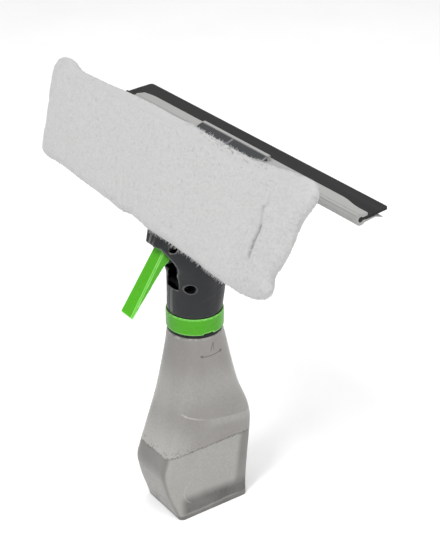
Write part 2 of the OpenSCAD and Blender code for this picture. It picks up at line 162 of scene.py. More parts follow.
def moulded(name, color, rough=0.42, grain=0.10, spread=0.10, edge_highlight=None, highlight_range=(0.03, 0.10), shine=0.3,
            clamp=False):
    """Injection-moulded plastic: faint flow mottling, fine grain, roughness that varies, painted highlights
    on the edges.
    """
    g = Graph(name)
    flow = g.noise(38, 3, 0.5, stretch=(1, 1, 0.45))
    fine = g.noise(900, 2, 0.5)
    c = g.mix(g.remap(flow, 0.3, 0.7), scaled(color, 1 - spread), scaled(color, 1 + spread))
    c = g.mix(g.remap(fine, 0.35, 0.75, 0, 0.25), c, scaled(color, 1 + 2.2 * spread))
    if clamp:
        _, y, z = g.axes()
        held = g.math("MULTIPLY", g.remap(y, *CLAMP_Y), g.remap(z, *CLAMP_Z))
        c = g.mix(held, c, scaled(color, 1.9))
    # painted highlight: edges that stand out from their neighbours take a paler colour
    if edge_highlight:
        bulge = g.new("ShaderNodeAttribute", attribute_name="edge")
        edge = g.remap(bulge.outputs["Fac"], *highlight_range, 0, 0.85)
        c = g.mix(edge, c, edge_highlight)
    g.fill(g.bsdf.inputs["Base Color"], c)
    g.fill(g.bsdf.inputs["Roughness"], g.remap(g.noise(140, 3), 0.3, 0.7, rough - 0.05, rough + 0.07))
    g.set(IOR=1.48, Specular_IOR_Level=shine)
    micro = g.bump(fine, grain, 0.00006)
    g.bump(g.noise(3200, 2), grain, 0.00005, below=micro)
    return g.mat


def metal(name, color, rough=0.25):
    g = Graph(name)
    lines = g.noise(700, 2, 0.5, stretch=(0.15, 1, 1))
    g.fill(g.bsdf.inputs["Base Color"], g.mix(g.remap(lines, 0.3, 0.7), scaled(color, 0.85), color))
    g.set(Metallic=1.0)
    g.fill(g.bsdf.inputs["Roughness"], g.remap(lines, 0.3, 0.7, rough - 0.06, rough + 0.1))
    g.bump(lines, 0.15, 0.00004)
    return g.mat


def rubber(name, color, rough=0.55):
    """Black rubber: matt, with fine streaks along its length and a trace of dust."""
    g = Graph(name)
    streak = g.noise(420, 3, 0.6, stretch=(0.03, 1, 1))
    dust = g.noise(900, 3, 0.7)
    c = g.mix(g.remap(streak, 0.35, 0.7), scaled(color, 0.85), scaled(color, 1.18))
    c = g.mix(g.remap(dust, 0.62, 0.8, 0, 0.04), c, (0.22, 0.22, 0.22))
    g.fill(g.bsdf.inputs["Base Color"], c)
    g.fill(g.bsdf.inputs["Roughness"], g.remap(streak, 0.3, 0.7, rough - 0.06, rough + 0.08))
    g.set(Specular_IOR_Level=0.08)
    g.bump(g.noise(2200, 2), 0.2, 0.00005, below=g.bump(streak, 0.15, 0.00008))
    return g.mat


def extruded(name, color):
    """Satin extruded plastic: long die lines along X."""
    g = Graph(name)
    lines = g.noise(900, 2, 0.6, stretch=(0.012, 1, 1))
    soft = g.noise(40, 3, 0.5, stretch=(0.25, 1, 1))
    c = g.mix(g.remap(soft, 0.3, 0.7), scaled(color, 0.93), scaled(color, 1.06))
    c = g.mix(g.remap(lines, 0.55, 0.8, 0, 0.5), c, scaled(color, 0.86))
    g.fill(g.bsdf.inputs["Base Color"], c)
    g.fill(g.bsdf.inputs["Roughness"], g.remap(lines, 0.3, 0.7, 0.34, 0.46))
    g.bump(g.noise(2500, 2), 0.12, 0.00004, below=g.bump(lines, 0.25, 0.00010))
    return g.mat


def tubing(name, color):
    g = Graph(name)
    cloud = g.noise(160, 3)
    g.fill(g.bsdf.inputs["Base Color"], g.mix(g.remap(cloud, 0.3, 0.7), scaled(color, 0.92), color))
    g.fill(g.bsdf.inputs["Roughness"], g.remap(cloud, 0.3, 0.7, 0.2, 0.3))
    g.set(Transmission_Weight=0.35, IOR=1.45)
    g.bump(g.noise(1200, 2, stretch=(1, 1, 0.1)), 0.08, 0.00005)
    return g.mat


def foamy(name, color):
    g = Graph(name)
    cell = g.cells(900)
    g.fill(g.bsdf.inputs["Base Color"], g.mix(g.remap(cell, 0.0, 0.6), scaled(color, 0.7), color))
    g.set(Roughness=0.95)
    g.bump(cell, 0.6, 0.0004)
    return g.mat


def microfibre(name, color):
    """Looped pile: soft mottling, painted shade between the loops and on faces that turn up, and a painted
    shadow in the pressed fold.
    """
    g = Graph(name)
    loops = g.noise(620, 4, 0.7, distortion=0.6)
    lumps = g.noise(170, 3, 0.6)
    broad = g.noise(28, 3, 0.5)
    strands = g.noise(1900, 3, 0.75, stretch=(1, 1, 0.4))
    # painted shade between the loops
    c = g.mix(g.remap(loops, 0.28, 0.62), scaled(color, 0.85), scaled(color, 1.04))
    c = g.mix(g.remap(lumps, 0.3, 0.7, 0, 0.25), c, scaled(color, 1.05))
    c = g.mix(g.remap(broad, 0.3, 0.7, 0.2, 0), c, scaled(color, 0.95))
    # painted shade on the faces that turn upward
    up = g.facing()[2]
    c = g.mix(g.remap(up, 0.25, 0.85, 0, 0.9), c, scaled(color, 0.84))
    # painted shadow in the pressed fold
    fold = g.new("ShaderNodeAttribute", attribute_name="fold")
    c = g.mix(g.math("MULTIPLY", fold.outputs["Fac"], 0.85), c, scaled(color, 0.30))
    g.fill(g.bsdf.inputs["Base Color"], c)
    g.set(Roughness=0.95, Sheen_Weight=0.2, Sheen_Roughness=0.5, Specular_IOR_Level=0.15)
    g.bump(strands, 0.35, 0.0004, below=g.bump(loops, 0.50, 0.0006))
    return g.mat


def bottle_plastic(name):
    """Frosted plastic, part filled: cloudy above the liquid's line, clearer and paler below it; light,
    highlights and shade on both parts are painted.
    """
    g = Graph(name)
    _, y, z = g.axes()
    nx = g.facing()[0]

    def both(a, b):
        return g.math("MULTIPLY", a, b)

    wavy = both(g.math("SUBTRACT", g.noise(120, 2), 0.5), 0.003)
    zz = g.math("ADD", z, wavy)
    grain = g.noise(560, 3, 0.65)
    cloud = g.noise(34, 4, 0.55, stretch=(1, 1, 0.5))
    side = g.remap(g.math("ABSOLUTE", nx), 0.55, 0.9)
    # above the liquid: darker towards the neck, painted light at the front corner, and a painted highlight
    # along the ledge
    dry = g.mix(g.remap(z, *WIDE_TO_NECK), FROST_WIDE, FROST_NECK)
    glow = both(g.remap(z, LIQUID_Z, LIQUID_Z + 0.034, 1, 0), g.remap(y, -0.005, -0.032))
    dry = g.mix(both(glow, 0.85), dry, FROST_CLOUD_AND_LIGHT)
    decay = g.math("EXPONENT", both(g.math("ADD", y, LEDGE_Y), -1 / LEDGE_FALL))
    ledge = g.math("ADD", both(decay, LEDGE_RISE), LEDGE_Z)
    above = g.math("SUBTRACT", z, ledge)
    glint = both(g.remap(g.math("ABSOLUTE", above), 0.0002, 0.0010, 1, 0),
                 both(g.remap(y, -0.027, -0.023), g.remap(y, -0.018, -0.002, 1, 0.03)))
    # painted light in a band under the ledge on the flat sides
    below = both(g.remap(above, -0.009, -0.001),
                 both(g.remap(above, -0.0002, 0.0006, 1, 0), g.remap(y, -0.012, 0.010)))
    dry = g.mix(both(both(below, side), 0.5), dry, FROST_CLOUD_AND_LIGHT)
    dry = g.mix(both(both(glint, side), 0.5), dry, FROST_GLINT)
    # painted highlight in a band under the seal's lip
    lip_glint = both(g.remap(z, *LIP_Z), g.remap(g.noise(260, 2), 0.42, 0.60))
    dry = g.mix(both(lip_glint, 0.35), dry, FROST_GLINT)
    # below it: painted light on the flat sides, painted shade under the line on the ends, at the back
    # corner, in a wedge and above the foot, and a painted highlight in a curl
    wet = g.mix(side, WET_END_SHADED, WET_SIDE_LIT)
    # painted shade under the liquid's line on the ends
    under_line_shade = both(g.remap(z, LIQUID_Z - 0.026, LIQUID_Z - 0.010), g.math("SUBTRACT", 1.0, side))
    wet = g.mix(both(under_line_shade, 0.8), wet, WET_SHADE)
    # painted shade in a band at the back corner
    behind = g.math("SUBTRACT", y, both(z, BAND_LEAN))
    back_corner_shade = both(g.remap(behind, 0.0175, 0.0235), g.remap(nx, 0.05, 0.3))
    wet = g.mix(both(back_corner_shade, 0.85), wet, WET_SHADE)
    # painted shade in a wedge low on the flat sides
    top = g.math("ADD", both(y, WEDGE_LEAN), WEDGE_Z)
    wedge_shade = both(g.remap(g.math("SUBTRACT", zz, top), 0.006, -0.004), g.remap(zz, 0.0032, 0.0056))
    wedge_shade = both(both(wedge_shade, side), g.remap(y, -0.031, -0.022))
    wet = g.mix(both(wedge_shade, 0.9), wet, WET_WEDGE_SHADE)
    # painted highlight in a curl on the flat sides
    across, up = g.math("SUBTRACT", y, CURL_Y), g.math("SUBTRACT", z, CURL_Z)
    out = g.math("POWER", g.math("ADD", both(across, across), both(up, up)), 0.5)
    curl_glint = both(g.remap(g.math("ABSOLUTE", g.math("SUBTRACT", out, CURL_R)), 0.0002, 0.0008, 1, 0),
                g.remap(y, -0.018, -0.022))
    wet = g.mix(both(both(curl_glint, side), 0.22), wet, FROST_GLINT)
    rim = g.math("SUBTRACT", zz, LIQUID_Z)
    # painted shade above the foot
    foot_shade = both(g.remap(zz, *FOOT_Z), 0.95)
    wet = g.mix(foot_shade, wet, scaled(WET_SHADE, 0.8))
    # painted band of light round the belly
    belly_light = g.remap(g.math("ABSOLUTE", g.math("SUBTRACT", z, BELLY_Z)), 0.0, BELLY_REACH, 0.42, 0)
    dry = g.mix(belly_light, dry, FROST_CLOUD_AND_LIGHT)
    c = g.mix(g.remap(rim, -0.0004, 0.0004), wet, dry)
    dots = g.remap(g.cells(560), 0.20, 0.55, 1, 0.4)
    line = both(g.remap(g.math("ABSOLUTE", rim), 0.0004, 0.0012, 1, 0), dots)
    froth = both(both(g.remap(rim, 0.0, 0.0090, 1, 0), g.remap(rim, -0.0008, 0.0)),
                 g.remap(g.cells(430), 0.16, 0.42, 1, 0))
    froth = both(froth, g.remap(y, 0.0, -0.030, 0.25, 1))
    c = g.mix(both(line, 0.9), c, LINE_DARK)
    c = g.mix(both(froth, 0.85), c, FROTH_DARK)
    c = g.mix(g.remap(grain, 0.30, 0.70, 0, 0.30), c, scaled(FROST_NECK, 0.78))
    c = g.mix(g.remap(cloud, 0.35, 0.75, 0, 0.22), c, FROST_CLOUD_AND_LIGHT)
    g.fill(g.bsdf.inputs["Base Color"], c)
    g.fill(g.bsdf.inputs["Roughness"], g.remap(g.noise(260, 3), 0.3, 0.7, 0.30, 0.42))
    g.set(IOR=1.46, Transmission_Weight=0.22, Specular_IOR_Level=0.4, Coat_Weight=0.15, Coat_Roughness=0.22)
    g.bump(grain, 0.12, 0.00010, below=g.bump(g.noise(60, 2), 0.12, 0.0006))
    return g.mat


def liquid(name):
    g = Graph(name)
    swirl = g.noise(45, 3)
    c = g.mix(g.remap(swirl, 0.3, 0.7), (0.80, 0.83, 0.82), (0.90, 0.92, 0.91))
    g.fill(g.bsdf.inputs["Base Color"], c)
    g.fill(g.bsdf.inputs["Roughness"], g.remap(swirl, 0.3, 0.7, 0.02, 0.08))
    g.set(Transmission_Weight=0.9, IOR=1.33)
    g.bump(g.noise(120, 2), 0.04, 0.0004)
    return g.mat


def floor_paint(name):
    g = Graph(name)
    fine = g.noise(8, 4, 0.6)
    c = g.mix(g.remap(fine, 0.3, 0.7), (0.95, 0.95, 0.95), (0.97, 0.97, 0.97))
    g.fill(g.bsdf.inputs["Base Color"], c)
    g.set(Roughness=0.7, Specular_IOR_Level=0.2)
    return g.mat


# Where the paint changes on the head and the bottle, in metres, with the places of the bottle's painted
# light, highlights and shade; the two leans are slopes
CLAMP_Y, CLAMP_Z = (0.011, 0.017), (0.268, 0.274)
LIQUID_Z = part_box("cleaning_fluid")[1][2]
WIDE_TO_NECK = (0.070, 0.155)
LEDGE_Z, LEDGE_RISE, LEDGE_Y, LEDGE_FALL = 0.0737, 0.0150, 0.019, 0.024
LIP_Z = (0.1500, 0.1522)
BELLY_Z, BELLY_REACH = 0.108, 0.026
BAND_LEAN, WEDGE_LEAN, WEDGE_Z = 0.13, -0.07, 0.0155
CURL_Y, CURL_Z, CURL_R = -0.015, 0.022, 0.0105
FOOT_Z = (0.0045, 0.0030)

# Colours of the frosted bottle above the liquid's line and below it, and of its painted light, highlights
# and shade
FROST_NECK = (0.235, 0.222, 0.210)
FROST_WIDE = (0.278, 0.267, 0.252)
FROST_CLOUD_AND_LIGHT = (0.43, 0.425, 0.40)
FROST_GLINT = (0.74, 0.73, 0.71)
WET_SIDE_LIT = (0.370, 0.366, 0.345)
WET_END_SHADED = (0.225, 0.219, 0.206)
WET_SHADE = (0.143, 0.138, 0.130)
WET_WEDGE_SHADE = (0.042, 0.040, 0.037)
LINE_DARK = (0.05, 0.047, 0.044)
FROTH_DARK = (0.07, 0.067, 0.063)

HEAD = (0.0175, 0.0185, 0.020)
GREEN = (0.060, 0.335, 0.006)
RING_GREEN = (0.052, 0.290, 0.005)
M = {
    # the pale edge colours of the head, trigger and ring are painted highlights
    "head": moulded("head_plastic", HEAD, rough=0.42, grain=0.14, spread=0.07, edge_highlight=(0.17, 0.17, 0.175),
                    highlight_range=(0.024, 0.10), shine=0.22, clamp=True),
    # the well's rim is a lighter copy of the head's plastic, a painted highlight
    "rim": moulded("head_rim_lit", scaled(HEAD, 3.2), rough=0.38, grain=0.08, spread=0.05),
    # near black painted shade for the inside of the head and the top of its sill
    "inside_shade": moulded("head_inside_shade", (0.004, 0.004, 0.004), rough=0.7, grain=0.1, shine=0.05),
    "green": moulded("green_plastic", GREEN, rough=0.30, grain=0.05, spread=0.02, edge_highlight=(0.26, 0.66, 0.16),
                     highlight_range=(0.014, 0.06), shine=0.25),
    "ring": moulded("ring_plastic", RING_GREEN, rough=0.30, grain=0.05, spread=0.02, edge_highlight=(0.25, 0.64, 0.15),
                    highlight_range=(0.02, 0.08), shine=0.25),
    "pump": moulded("pump_plastic", (0.035, 0.035, 0.037), rough=0.45, grain=0.12),
    "plate": moulded("plate_plastic", (0.065, 0.066, 0.07), rough=0.5, grain=0.15),
    "steel": metal("screw_steel", (0.62, 0.62, 0.64)),
    # the pin's steel is darkened as painted shade for its recess
    "pin": metal("pin_steel_shaded", (0.16, 0.16, 0.17), rough=0.3),
    "rubber": rubber("blade_rubber", (0.021, 0.021, 0.021)),
    "seal": rubber("seal_rubber", (0.022, 0.022, 0.024), rough=0.6),
    "holder": extruded("holder_plastic", (0.265, 0.265, 0.257)),
    "tube": tubing("clear_tube", (0.62, 0.62, 0.61)),
    "foam": foamy("foam", (0.80, 0.78, 0.70)),
    "pile": microfibre("microfibre", (0.424, 0.424, 0.421)),
    "bottle": bottle_plastic("bottle_plastic"),
    "liquid": liquid("liquid"),
    "floor": floor_paint("floor"),
}

FINISH = {
    "shoulder_seal": "seal", "rim_gasket": "seal", "piston_seal": "seal", "lock_collar": "ring",
    "trigger": "green", "neck_plug": "head", "dip_tube": "tube", "delivery_tube": "tube",
    "swirl_core": "tube", "housing_left": "head", "housing_right": "head", "housing_screws": "steel",
    "trigger_pin": "pin", "plate_screws": "steel", "return_spring": "steel", "inlet_ball": "steel",
    "outlet_ball": "steel", "pump_body": "pump", "piston": "pump", "outlet_cap": "pump",
    "nozzle_body": "pump", "pad_plate": "plate", "pad_foam": "foam", "pad_cover": "pile",
    "blade_holder": "holder", "rubber_blade": "rubber", "bottle": "bottle", "cleaning_fluid": "liquid",
}
for node, key in FINISH.items():
    o = NODES[node]
    o.data.materials.clear()
    o.data.materials.append(M[key])


def piece(name, verts, faces, mat, body):
    """A smooth-shaded mesh in metres that rides on a body."""
    me = bpy.data.meshes.new(name)
    me.from_pydata([tuple(v) for v in verts], [], faces)
    me.update()
    o = bpy.data.objects.new(name, me)
    bpy.context.scene.collection.objects.link(o)
    me.materials.append(M[mat])
    for p in me.polygons:
        p.use_smooth = True
    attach(o, body)
    return o


def active(o):
    bpy.ops.object.select_all(action="DESELECT")
    o.select_set(True)
    bpy.context.view_layer.objects.active = o


def apply_all(o):
    active(o)
    for m in list(o.modifiers):
        bpy.ops.object.modifier_apply(modifier=m.name)


def mark_edges(o, size):
    """Note on each point how far it stands out from its neighbours, for the painted highlights on the edges.
    """
    me = o.data
    co = np.empty(3 * len(me.vertices))
    me.vertices.foreach_get("co", co)
    co = co.reshape(-1, 3)
    ends = np.empty(2 * len(me.edges), dtype=int)
    me.edges.foreach_get("vertices", ends)
    ends = ends.reshape(-1, 2)
    normals = np.array([v.normal for v in me.vertices])
    count = np.zeros(len(co))

    def around(values):
        total = np.zeros_like(values)
        for a, b in ((0, 1), (1, 0)):
            np.add.at(total, ends[:, a], values[ends[:, b]])
        return (total.T / np.maximum(count, 1)).T

    np.add.at(count, ends.ravel(), 1)
    bulge = ((co - around(co)) * normals).sum(axis=1) / size
    bulge = np.maximum(bulge, 0)
    bulge = 0.5 * bulge + 0.5 * around(bulge)
    edge = me.attributes.new("edge", "FLOAT", "POINT")
    edge.data.foreach_set("value", bulge.astype(np.float32))


def softened(name, node, body, voxel, rounds):
    """A copy of a CAD solid with all its edges rounded over."""
    o = bpy.data.objects.new(name, NODES[node].data.copy())
    bpy.context.scene.collection.objects.link(o)
    bm = bmesh.new()
    bm.from_mesh(o.data)
    bmesh.ops.remove_doubles(bm, verts=bm.verts, dist=1e-6)
    bm.to_mesh(o.data)
    bm.free()
    re = o.modifiers.new("remesh", "REMESH")
    re.mode = "VOXEL"
    re.voxel_size = voxel * MM
    even = o.modifiers.new("even", "SMOOTH")
    even.factor = 0.5
    even.iterations = rounds
    apply_all(o)
    o.data.materials.clear()
    o.data.materials.append(M[FINISH[node]])
    for p in o.data.polygons:
        p.use_smooth = True
    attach(o, body)
    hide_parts(node)
    return o


def ease(t):
    t = max(0.0, min(1.0, t))
    return t * t * (3 - 2 * t)


def along(z, points):
    """Smooth curve through (z, value) points."""
    if z <= points[0][0]:
        return points[0][1]
    if z >= points[-1][0]:
        return points[-1][1]
    for i in range(len(points) - 1):
        (x0, y0), (x1, y1) = points[i], points[i + 1]
        if x0 <= z <= x1:
            def slope(k):
                if k <= 0:
                    return (points[1][1] - points[0][1]) / (points[1][0] - points[0][0])
                if k >= len(points) - 1:
                    return (points[-1][1] - points[-2][1]) / (points[-1][0] - points[-2][0])
                a = (points[k][1] - points[k - 1][1]) / (points[k][0] - points[k - 1][0])
                b = (points[k + 1][1] - points[k][1]) / (points[k + 1][0] - points[k][0])
                return 0.0 if a * b < 0 else (a + b) / 2
            h = x1 - x0
            t = (z - x0) / h
            m0, m1 = slope(i) * h, slope(i + 1) * h
            return ((2 * t ** 3 - 3 * t ** 2 + 1) * y0 + (t ** 3 - 2 * t ** 2 + t) * m0
                    + (-2 * t ** 3 + 3 * t ** 2) * y1 + (t ** 3 - t ** 2) * m1)


# ---------------------------------------------------------------- bottle

SHOULDER_Z, WALL = 152.5, 1.3
MOUTH_R, BORE_R, MOUTH_Z = 15.5, 13.8, 166.0
# Heights between which the flat sides carry the ledge, how far out the flats begin, and its step
LEDGE_FROM, LEDGE_TO, FLAT_X, LEDGE_STEP = 60, 130, 14, 0.42

# Reach of the section to the front, the back and the side, and its corner radius, against height (mm)
FRONT = [(0, 30.2), (11, 34.0), (24, 38.6), (36, 41.7), (42.5, 42.8), (47, 42.6), (53, 41.0), (75, 35.1),
         (100, 29.1), (125, 24.4), (141, 21.9), (SHOULDER_Z, 20.8)]
BACK = [(0, 32.6), (20, 34.4), (45, 37.3), (62, 39.6), (69, 40.2), (75, 39.8), (82, 38.3), (100, 31.9),
        (125, 26.2), (141, 23.2), (SHOULDER_Z, 20.7)]
SIDE = [(0, 23.6), (14, 21.8), (30, 21.0), (70, 20.7), (110, 20.5), (SHOULDER_Z, 20.4)]
CORNER = [(0, 4.0), (48, 5.6), (70, 8.5), (99, 13.8), (125, 17.2), (SHOULDER_Z, 20.3)]


def crease(y):
    """Height of the faint ledge across the bottle's flat sides."""
    return along(y, [(-27, 95), (-19, 88), (-5.5, 81), (8, 76.5), (22, 73), (36, 71)])


def section(z, g, n_arc=14, n_long=16, n_short=8):
    f, b, w, r = (along(z, c) - k for c, k in ((FRONT, g), (BACK, g), (SIDE, g), (CORNER, g)))
    r = max(1.0, min(r, w - 0.04, (f + b) / 2 - 0.04))
    pts = []
    for cx, cy, a0, n in ((w - r, b - r, 0, n_short), (r - w, b - r, 90, n_long),
                          (r - w, r - f, 180, n_short), (w - r, r - f, 270, n_long)):
        for i in range(n_arc + 1):
            a = math.radians(a0 + 90 * i / n_arc)
            pts.append((cx + r * math.cos(a), cy + r * math.sin(a)))
        nx = {0: (r - w, b), 90: (-w, r - f), 180: (w - r, -f), 270: (w, b - r)}[a0]
        x0, y0 = pts[-1]
        for i in range(1, n):
            pts.append((x0 + (nx[0] - x0) * i / n, y0 + (nx[1] - y0) * i / n))
    return pts


def bottle_skin():
    verts, rows = [], []

    def row(z, inset, scale=1.0, outside=False):
        out = []
        for x, y in section(z, inset):
            x, y = x * scale, y * scale
            if outside and LEDGE_FROM < z < LEDGE_TO and abs(x) > FLAT_X:
                d = z - crease(y)
                step = ease(d / 1.6) * (1 - ease((d - 4) / 26)) * ease((abs(x) - FLAT_X) / 4)
                x -= math.copysign(LEDGE_STEP * step, x)
            out.append(len(verts))
            verts.append(Vector((x, y, z)) * MM)
        rows.append(out)

    def ring(z, r):
        out = []
        for x, y in section(SHOULDER_Z, 0):
            a = math.atan2(y, x)
            out.append(len(verts))
            verts.append(Vector((r * math.cos(a), r * math.sin(a), z)) * MM)
        rows.append(out)

    # under the foot, round its edge and up the outside
    for s in (0.30, 0.62):
        row(1.6, 0, scale=s)
    for z, inset in ((1.5, 6.0), (0.7, 4.6), (0.02, 3.2), (0.0, 1.6)):
        row(z, inset)
    for a in (20, 45, 70, 90):
        t = math.radians(a)
        row(1.0 - math.cos(t), 1.0 - math.sin(t))
    z = 2.6
    while z < 150.8:
        row(z, 0, outside=True)
        z += 1.45
    row(151.6, 0)
    row(152.3, 0.35)
    # the shoulder, the mouth and its bore
    for z, r in ((SHOULDER_Z, 18.7), (SHOULDER_Z, 16.2), (152.9, 15.6), (153.6, MOUTH_R), (163.0, MOUTH_R),
                 (165.6, MOUTH_R), (MOUTH_Z, 15.1), (MOUTH_Z, 14.2), (165.6, BORE_R), (151.2, BORE_R)):
        ring(z, r)
    # down the inside of the wall to the inner floor
    z = 149.6
    while z > 3.5:
        row(z, WALL)
        z -= 4.4
    row(2.9, 3.0)
    for s in (0.60, 0.30):
        row(2.9, 0, scale=s)
    n = len(rows[0])
    faces = []
    for a, b in zip(rows, rows[1:]):
        for i in range(n):
            j = (i + 1) % n
            faces.append((a[i], a[j], b[j], b[i]))
    faces.append(tuple(reversed(rows[0])))
    faces.append(tuple(rows[-1]))
    # bayonet lugs on the mouth
    for k in range(3):
        base = len(verts)
        steps = 14
        for i in range(steps + 1):
            a = math.radians(120 * k - 20 + 40 * i / steps)
            end = 0.35 if i in (0, steps) else 0.0
            for r, h in ((15.2, 158.0), (17.0 - end, 158.0), (17.2 - end, 158.3), (17.2 - end, 160.0),
                         (16.9 - end, 160.3), (15.2, 160.3)):
                verts.append(Vector((r * math.cos(a), r * math.sin(a), h)) * MM)
        for i in range(steps):
            for j in range(6):
                p, q = base + i * 6 + j, base + i * 6 + (j + 1) % 6
                faces.append((p, q, q + 6, p + 6))
        faces.append(tuple(base + j for j in range(5, -1, -1)))
        faces.append(tuple(base + steps * 6 + j for j in range(6)))
    o = piece("bottle_skin", verts, faces, "bottle", "bottle_body")
    bm = bmesh.new()
    bm.from_mesh(o.data)
    bmesh.ops.recalc_face_normals(bm, faces=bm.faces)
    bm.to_mesh(o.data)
    bm.free()
    o.data.set_sharp_from_angle(angle=math.radians(38))
    return o


bottle = bottle_skin()
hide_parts("bottle")


def surface_of(o):
    bm = bmesh.new()
    bm.from_mesh(o.data)
    tree = BVHTree.FromBMesh(bm)
    bm.free()
    return tree


def rod(path, radii, sides=8):
    """Vertices and faces of a closed tube along a path, with a radius at each point."""
    verts, faces = [], []
    up = Vector((0.3, 0.2, 0.93)).normalized()
    for i, p in enumerate(path):
        t = (path[min(i + 1, len(path) - 1)] - path[max(i - 1, 0)]).normalized()
        u = (up - t * up.dot(t)).normalized()
        v = t.cross(u)
        for j in range(sides):
            a = 2 * math.pi * j / sides
            verts.append(p + (u * math.cos(a) + v * math.sin(a)) * radii[i])
    for i in range(len(path) - 1):
        for j in range(sides):
            k = (j + 1) % sides
            faces.append((i * sides + j, i * sides + k, (i + 1) * sides + k, (i + 1) * sides + j))
    faces.append(tuple(range(sides - 1, -1, -1)))
    faces.append(tuple((len(path) - 1) * sides + j for j in range(sides)))
    return verts, faces


def joined(parts):
    verts, faces = [], []
    for v, f in parts:
        base = len(verts)
        verts += v
        faces += [tuple(base + i for i in face) for face in f]
    return verts, faces


# A plain turn mark under the ring: a pointer and an arc with a head at each end, raised from the surface
skin = surface_of(bottle)


def on_side(y, z):
    hit = skin.ray_cast(Vector((0.06, y * MM, z * MM)), Vector((-1, 0, 0)))[0]
    return hit


def raised(points, r=0.26):
    path = [on_side(y, z) for y, z in points]
    n = len(path)
    return rod(path, [r * MM * (0.55 if i in (0, n - 1) else 1.0) for i in range(n)], 6)


marks = [raised([(-8.7 + 18.6 * i / 20, 136.5 + 1.5 * (abs(i - 9) / 10) ** 2) for i in range(21)]),
         raised([(-8.7, 138.0), (-7.4, 138.3), (-6.3, 138.2)]),
         raised([(-8.7, 137.9), (-7.6, 137.0), (-6.9, 136.2)]),
         raised([(9.9, 138.2), (8.5, 138.6), (7.4, 138.5)]),
         raised([(9.9, 138.1), (8.9, 137.0), (8.2, 136.3)]),
         raised([(1.9, 147.2), (0.9, 143.6), (0.0, 139.9)]),
         raised([(2.1, 147.0), (2.5, 143.4), (2.8, 140.6)], 0.2)]
v, f = joined(marks)
M["mark"] = moulded("mark_plastic", (0.11, 0.105, 0.10), rough=0.35, grain=0.05)
mark = piece("turn_mark", v, f, "mark", "bottle_body")


# Tiny bubbles that cling to the wall along the liquid's line
def bubbles():
    rng = random.Random(11)
    parts = []
    edge = section(LIQUID_Z / MM, 1.42)
    ico = bmesh.new()
    bmesh.ops.create_icosphere(ico, subdivisions=1, radius=1)
    iv = [v.co.copy() for v in ico.verts]
    fi = [tuple(v.index for v in f.verts) for f in ico.faces]
    ico.free()
    for _ in range(260):
        i = rng.randrange(len(edge))
        j = (i + 1) % len(edge)
        t = rng.random()
        x = edge[i][0] + (edge[j][0] - edge[i][0]) * t
        y = edge[i][1] + (edge[j][1] - edge[i][1]) * t
        r = rng.uniform(0.12, 0.34)
        k = 1 - (r + 0.2) / math.hypot(x, y)
        c = Vector((x * k, y * k, LIQUID_Z / MM + rng.uniform(0.1, 0.6))) * MM
        parts.append(([c + q * r * MM for q in iv], fi))
    v, f = joined(parts)
    o = piece("bubble_line", v, f, "liquid", "bottle_body")


bubbles()


# ---------------------------------------------------------------- head

NECK_R, NECK_Z, SILL_Z, WAIST_Z = 20.5, 169.6, 190.5, 202
PAD_Y, PAD_Z, LEAN = -27.75, 288.5, math.radians(18.7)


def from_pad(x, y, z):
    """Pad frame (X along it, Z up it, -Y out of its face) to the row frame, in metres."""
    return Vector((x, PAD_Y + y * math.cos(LEAN) + z * math.sin(LEAN),
                   PAD_Z - y * math.sin(LEAN) + z * math.cos(LEAN))) * MM


def to_pad(p):
    y, z = p[1] / MM - PAD_Y, p[2] / MM - PAD_Z
    return p[0] / MM, y * math.cos(LEAN) - z * math.sin(LEAN), y * math.sin(LEAN) + z * math.cos(LEAN)


def head_form(n_neck, n_top):
    """The head's outside, as three hulls in mm: the neck, the waist, and the body from nose to clamp."""
    def disc(x, y, z, r, n):
        return [Vector((x + r * math.cos(2 * math.pi * i / n), y + r * math.sin(2 * math.pi * i / n), z))
                for i in range(n)]

    def neck(z, offset, slack):
        return disc(0, 0, z, NECK_R - 0.1 - slack, n_neck) + disc(0, offset, z, NECK_R - 1 - slack, n_neck)

    nose_section = ((-4, 8.7), (4, 8.7), (8.5, 13.5), (9, 20.7), (-9, 20.7), (-8.5, 13.5))
    nose = [from_pad(x, y, z) / MM for x, y in nose_section for z in (-58.5, -24.5)]
    bar = [from_pad(x, y, z) / MM for x in (-14, 14) for y in (8.7, 11.7) for z in (-8, 12)]
    top = [p for x in (-6, 6) for p in disc(x, 18.6, 286, 9, n_top)]
    bm = bmesh.new()
    for points in (disc(0, 0, NECK_Z, NECK_R, n_neck) + neck(SILL_Z, 4.6, 0.05),
                   neck(SILL_Z - 0.02, 4.6, 0) + neck(WAIST_Z, 5.4, 0.05),
                   neck(WAIST_Z - 0.02, 5.4, 0) + nose + bar + top):
        verts = [bm.verts.new(p) for p in points]
        hull = bmesh.ops.convex_hull(bm, input=verts, use_existing_faces=False)
        inside = {v for v in hull["geom_interior"] if isinstance(v, bmesh.types.BMVert)}
        bmesh.ops.delete(bm, geom=list(inside), context="VERTS")
    tree = BVHTree.FromBMesh(bm)
    bm.free()
    return tree


AXIS_Y, TURNS, STEP, LOW, HIGH = 2.0, 540, 0.9, 166.0, 302
# Voxel sizes of the softened copies, in mm
SHELL_VOXEL, TRIGGER_VOXEL, RING_VOXEL = 0.62, 0.38, 0.45


def reach(tree, angle, z):
    """How far the form reaches from its upright axis, towards an angle."""
    origin = Vector((0, AXIS_Y, z))
    away = Vector((math.cos(angle), math.sin(angle), 0))
    hit = tree.ray_cast(origin + away * 120, -away)
    return None if hit[0] is None else (hit[0] - origin).length


